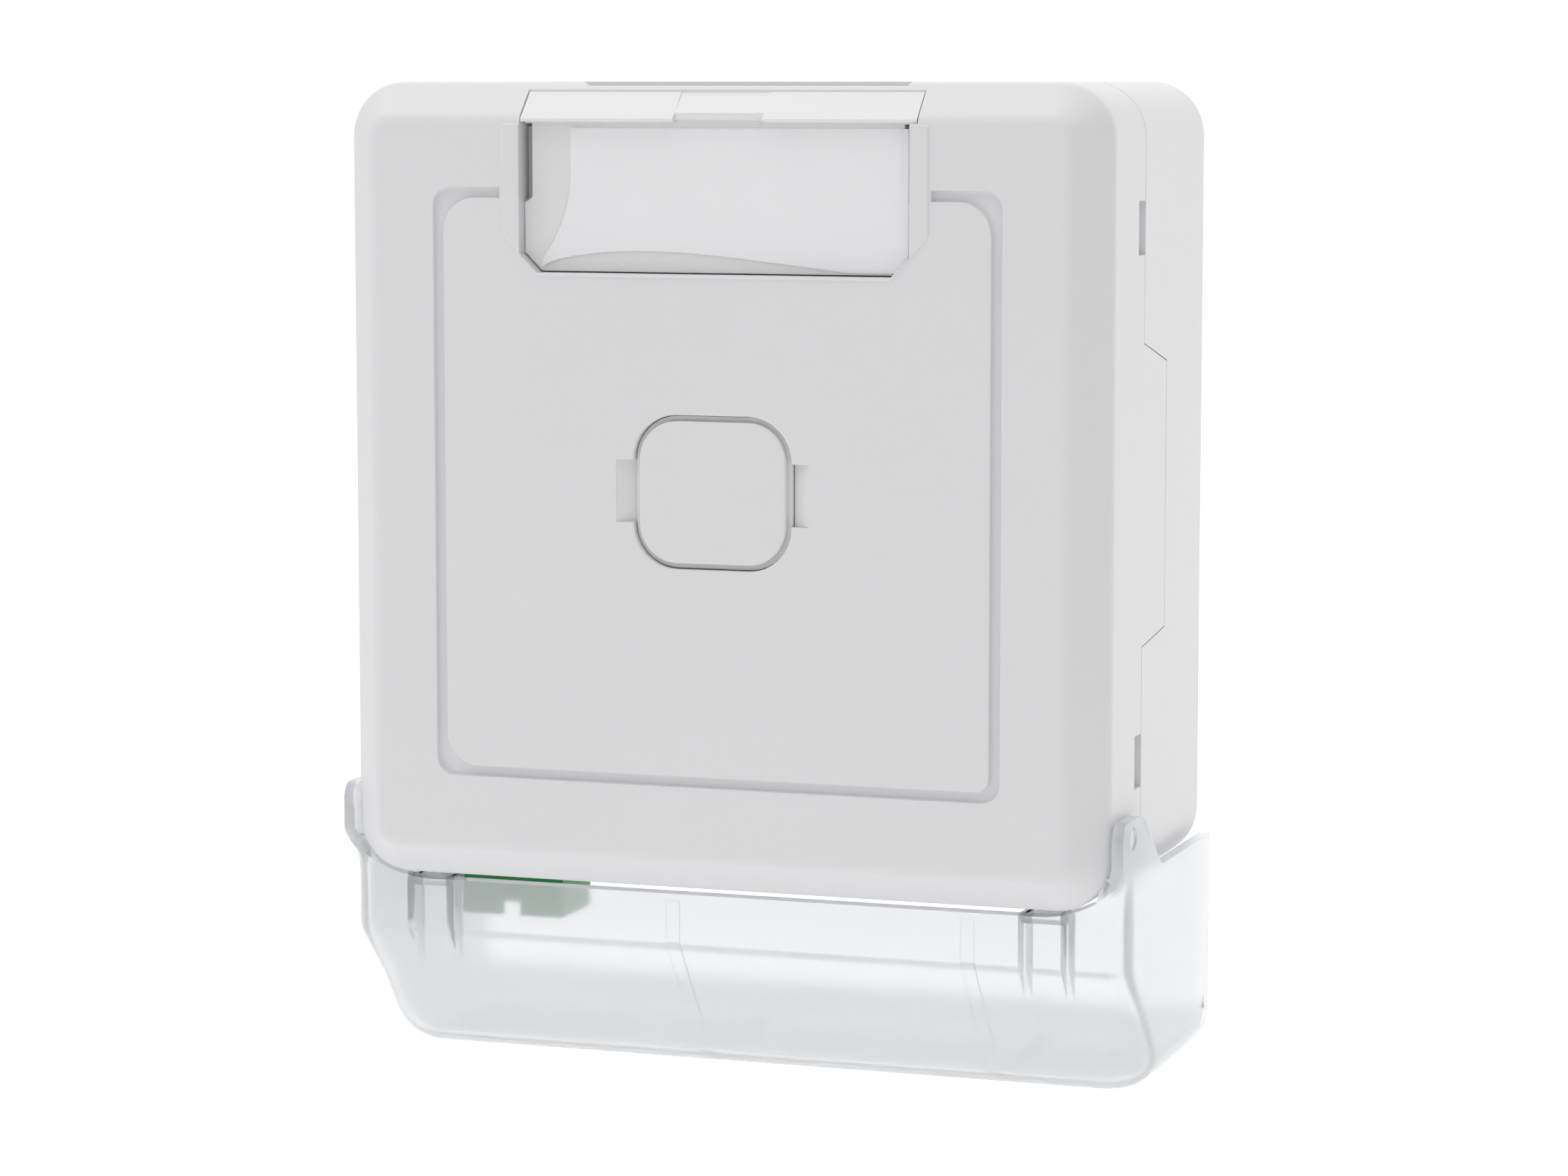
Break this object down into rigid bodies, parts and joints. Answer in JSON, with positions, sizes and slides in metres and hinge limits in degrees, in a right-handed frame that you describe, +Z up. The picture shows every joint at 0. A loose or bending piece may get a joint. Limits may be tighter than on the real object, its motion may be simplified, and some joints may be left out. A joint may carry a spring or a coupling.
{
  "type": "fibre termination outlet",
  "caption": "Square white wall outlet that ends a fibre line: clipped front cover with label window and screw cap, and a frosted flap over the patch connector below.",
  "frame": {"origin": "middle of the back mounting face, on the wall", "axes": "+Y into the wall, -Y out of the front face, +Z up, +X to the right as seen from the front"},
  "size_m": [0.0932, 0.043, 0.1136],
  "materials": {
    "base_white": "fine satin moulded ABS",
    "cover_white": "fine satin moulded ABS",
    "holder_white": "satin moulded ABS",
    "cap_white": "satin moulded ABS",
    "frosted_clear": "frosted translucent polycarbonate",
    "window_clear": "clear polycarbonate",
    "card_paper": "blank paper card",
    "adapter_green": "green glass-filled nylon",
    "insert_natural": "natural PBT",
    "sleeve_ceramic": "polished zirconia",
    "clip_steel": "thin spring steel",
    "tray_white": "moulded ABS",
    "holder_grey": "soft grey elastomer",
    "lid_clear": "clear polycarbonate",
    "screw_steel": "zinc plated",
    "clamp_white": "moulded nylon",
    "grommet_rubber": "soft black rubber",
    "insert_brass": "turned brass",
    "retainer_nylon": "natural nylon"
  },
  "bodies": {
    "base": {"base_shell": "base_white", "brass_insert": "insert_brass", "adapter_body": "adapter_green", "adapter_insert": "insert_natural", "ceramic_sleeve": "sleeve_ceramic", "adapter_clip": "clip_steel", "splice_tray": "tray_white", "splice_holder": "holder_grey", "tray_lid": "lid_clear", "tray_screws": "screw_steel", "cable_clamp": "clamp_white", "clamp_screws": "screw_steel", "entry_grommet": "grommet_rubber"},
    "cover": {"front_cover": "cover_white", "label_holder": "holder_white", "label_card": "card_paper"},
    "window": {"label_window": "window_clear"},
    "cap": {"screw_cap": "cap_white"},
    "screw": {"cover_screw": "screw_steel", "screw_retainer": "retainer_nylon"},
    "flap": {"bottom_cover": "frosted_clear"}
  },
  "joints": [
    {"name": "cover_pull", "type": "slide", "parent": "base", "child": "cover", "axis": [0, -1, 0], "range_m": [0, 0.04]},
    {"name": "flap_swing", "type": "hinge", "parent": "cover", "child": "flap", "pos_m": [0, -0.0352, -0.0375], "axis": [-1, 0, 0], "range_deg": [0, 100]},
    {"name": "window_tilt", "type": "hinge", "parent": "cover", "child": "window", "pos_m": [0, -0.0425, 0.0245], "axis": [1, 0, 0], "range_deg": [0, 40]},
    {"name": "cap_pull", "type": "slide", "parent": "cover", "child": "cap", "axis": [0, -1, 0], "range_m": [0, 0.012]},
    {"name": "screw_turn", "type": "hinge", "parent": "cover", "child": "screw", "pos_m": [0, -0.0355, 0], "axis": [0, 1, 0], "continuous": true}
  ]
}
